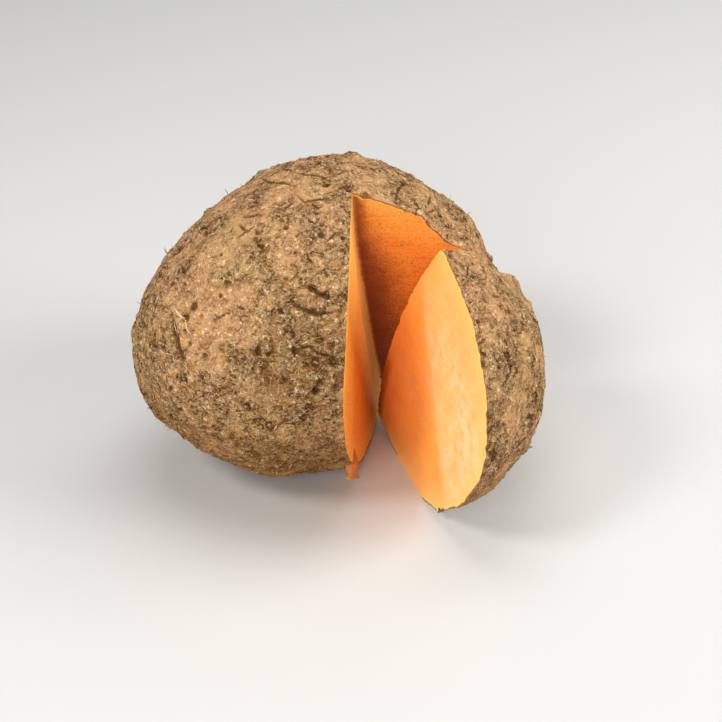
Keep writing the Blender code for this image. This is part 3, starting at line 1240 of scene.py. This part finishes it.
def root_paths():
    draw = random.Random(ROOT_SEED)
    for points, radius in LONG_ROOTS:
        yield long_path(points), radius
    for azimuth, elevation, length, radius in STUBS:
        yield stub_path(Vector(direction(azimuth, elevation)), length, draw), radius
    for centre in spiral_points(STUB_COUNT, draw, STUB_NUDGE):
        yield stub_path(centre, draw.uniform(*STUB_LENGTH), draw), draw.uniform(*STUB_RADIUS)
    for centre in spiral_points(THREAD_COUNT, draw, THREAD_NUDGE):
        yield thread_path(centre, draw.uniform(*THREAD_LENGTH), draw), draw.uniform(*THREAD_RADIUS)


def on_surface(tree, points):
    return all(tree.find_nearest(point)[3] < SKIN_REACH for point in points)


def dry_roots():
    depsgraph = bpy.context.evaluated_depsgraph_get()
    tuber_tree, wedge_tree = (BVHTree.FromObject(piece, depsgraph) for piece in (tuber, wedge))
    bm = bmesh.new()
    counts = [0, 0]
    for points, radius in root_paths():
        stands = radius > THREAD_RADIUS[1] and len(points) == len(STUB_RISES)
        # A stub stands on its first point, and a thread lies on the skin for most of its length.
        feet = points[:1] if stands else points[: 3 * len(points) // 4]
        if feet[0].z < LOWEST_FOOT:
            continue
        if on_surface(tuber_tree, feet):
            tube(bm, points, radius)
            counts[0] += 1
        elif on_surface(wedge_tree, feet):
            tube(bm, [wedge_pose @ point for point in points], radius)
            counts[1] += 1
    mesh = mesh_from(bm, "dry_roots")
    mesh.materials.append(straw_finish())
    print("dry roots:", counts[0], "on the tuber,", counts[1], "on the wedge")
    return in_scene("dry_roots", mesh)


# %% Straw-coloured roots
STRAW = (0.720, 0.530, 0.330, 1.0)
DUST_BROWN = (0.330, 0.195, 0.090, 1.0)


def straw_finish():
    made, tree = new_finish("dry_root_straw")
    place = Wire.node(tree, "ShaderNodeTexCoord", output="Object")
    colour = mix(DUST_BROWN, STRAW, grain(place, 0.010, 2.0, 0.6).between(0.42, 0.58))
    colour = shaded(colour, 0.75 + grain(place, 0.0011, 1.0) * 0.5)
    sockets = {"Base Color": colour, "Roughness": 0.8, "Specular IOR Level": 0.2}
    return finished(made, sockets)


roots = dry_roots()

# %% [markdown]
# ## The torn foot of the notch
#
# Where the knife left the notch at its foot, the last strip of flesh tore instead of
# being cut, and a small tab of it hangs down with a piece of rind at its end. It is lofted
# through a few ragged outlines, from inside the flesh down to the rind. Now that every
# vertex remembers its place, the wedge can be turned and moved to where it stands.

# %% A tab of flesh and rind
TAB_RINGS = (
    ((0.0128, -0.0585, 0.0300), 0.0050, 0.0040),
    ((0.0136, -0.0624, 0.0260), 0.0060, 0.0036),
    ((0.0146, -0.0668, 0.0222), 0.0076, 0.0040),
    ((0.0151, -0.0680, 0.0188), 0.0068, 0.0038),
    ((0.0153, -0.0684, 0.0160), 0.0060, 0.0034),
    ((0.0152, -0.0686, 0.0140), 0.0066, 0.0030),
    ((0.0150, -0.0686, 0.0130), 0.0080, 0.0026),
)
TAB_CORNERS = 10
TAB_RAG = 0.0015
TAB_RAG_LENGTH = 0.0022
TAB_RIND = 12.0
TAB_SEED = 449


def ragged_ring(centre, width, thick):
    ring = []
    for corner in range(TAB_CORNERS):
        turn = 2.0 * math.pi * corner / TAB_CORNERS
        across, deep = width / 2.0 * math.cos(turn), thick / 2.0 * math.sin(turn)
        point = Vector(centre) + Vector((across, deep, 0.0))
        ring.append(point + noise.noise_vector(point / TAB_RAG_LENGTH) * TAB_RAG)
    return ring


def torn_tab():
    # Without a seed, vector noise would be different in each run.
    noise.seed_set(TAB_SEED)
    bm = bmesh.new()
    loft(bm, [ragged_ring(*ring) for ring in TAB_RINGS])
    mesh = mesh_from(bm, "torn_tab")
    mesh.materials.append(torn_flesh)
    piece = in_scene("torn_tab", mesh)
    points = read_points(mesh)
    remember_flesh(piece, points, (points[:, 2] - points[:, 2].min()) * TAB_RIND)
    print("torn tab:", len(mesh.polygons), "faces")
    return piece


tab = torn_tab()
wedge.data.transform(wedge_pose)

# %% [markdown]
# ## Room, lights and camera
#
# A plain pale floor and six soft lamps. The key lamp is the smallest and stands high at the
# left, so that the skin's relief shows, and wide ones all round keep the notch from going
# black. The camera looks down by about thirty degrees from a little over a metre away,
# through a long lens.

# %% Floor and lights
FLOOR_SIZE = 6.0
FLOOR_COLOUR = (0.62, 0.62, 0.61, 1.0)
LAMPS = {
    "key_lamp": (-142, 46, 0.45, 9.7),
    "front_lamp": (-104, 22, 0.90, 10.8),
    "right_lamp": (-10, 27, 0.90, 18.5),
    "top_lamp": (90, 78, 1.20, 10.4),
    "back_lamp": (50, 40, 0.90, 4.8),
    "low_lamp": (-150, 5, 0.60, 6.0),
}
LAMP_DISTANCE = 1.5
LAMP_COLOUR = (1.0, 0.99, 0.97)
ROOM_LIGHT = 0.08
AIM = Vector((0.005, -0.010, 0.075))


def floor():
    bm = bmesh.new()
    bmesh.ops.create_grid(bm, x_segments=1, y_segments=1, size=FLOOR_SIZE / 2.0)
    mesh = mesh_from(bm, "floor")
    sockets = {"Base Color": FLOOR_COLOUR, "Roughness": 0.85, "Specular IOR Level": 0.2}
    mesh.materials.append(finished(new_finish("pale_floor")[0], sockets))
    thing = in_scene("floor", mesh)


def soft_lamp(name, azimuth, elevation, size, power):
    lamp = bpy.data.lights.new(name, "AREA")
    lamp.shape, lamp.size, lamp.energy, lamp.color = "DISK", size, power, LAMP_COLOUR
    thing = in_scene(name, lamp)
    away = Vector(direction(azimuth, elevation))
    thing.location = AIM + away * LAMP_DISTANCE
    thing.rotation_euler = away.to_track_quat("Z", "Y").to_euler()


floor()
for name, lamp in LAMPS.items():
    soft_lamp(name, *lamp)
world = bpy.data.worlds.new("soft_room")
world.use_nodes = True
room = world.node_tree.nodes["Background"].inputs
room["Color"].default_value = (*LAMP_COLOUR, 1.0)
room["Strength"].default_value = ROOM_LIGHT
bpy.context.scene.world = world
bpy.context.scene.view_settings.view_transform = "Standard"

# %% Camera
CAMERA_ELEVATION = 31.6
CAMERA_DISTANCE = 1.064
CAMERA_AIM = Vector((0.0196, 0.0, 0.0444))
PHOTO_PIXELS = 722
FOCAL_PIXELS = 1900
SENSOR_WIDTH = 36.0

lens = bpy.data.cameras.new("camera")
lens.sensor_width = SENSOR_WIDTH
lens.lens = SENSOR_WIDTH * FOCAL_PIXELS / PHOTO_PIXELS
camera = in_scene("camera", lens)
backwards = Vector(direction(-90.0, CAMERA_ELEVATION))
camera.location = CAMERA_AIM + backwards * CAMERA_DISTANCE
camera.rotation_euler = backwards.to_track_quat("Z", "Y").to_euler()
bpy.context.scene.camera = camera
print("lens", round(lens.lens, 1), "mm")

# %% [markdown]
# ## Hand the pieces over
#
# Each piece rides on the one body of the model, and the solid of the same thing is hidden.
# The solids stay as they are, unseen. How far the
# new surface strays from them is measured, because the two must agree.

# %% Measure the fit and attach the pieces
for piece, node, finish_slot in ((tuber, "tuber", "skin"), (wedge, "wedge", "flesh")):
    surface = BVHTree.FromObject(piece, bpy.context.evaluated_depsgraph_get())
    solid_points = read_points(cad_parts[node].data)
    strays = [surface.find_nearest(Vector(point))[3] for point in solid_points]
    print(node, "surface lies at most", mm(max(strays)), "from the solid")
    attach(piece, "root")
    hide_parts(node)

for piece, finish_slot in ((roots, "skin"), (tab, "flesh")):
    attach(piece, "root")
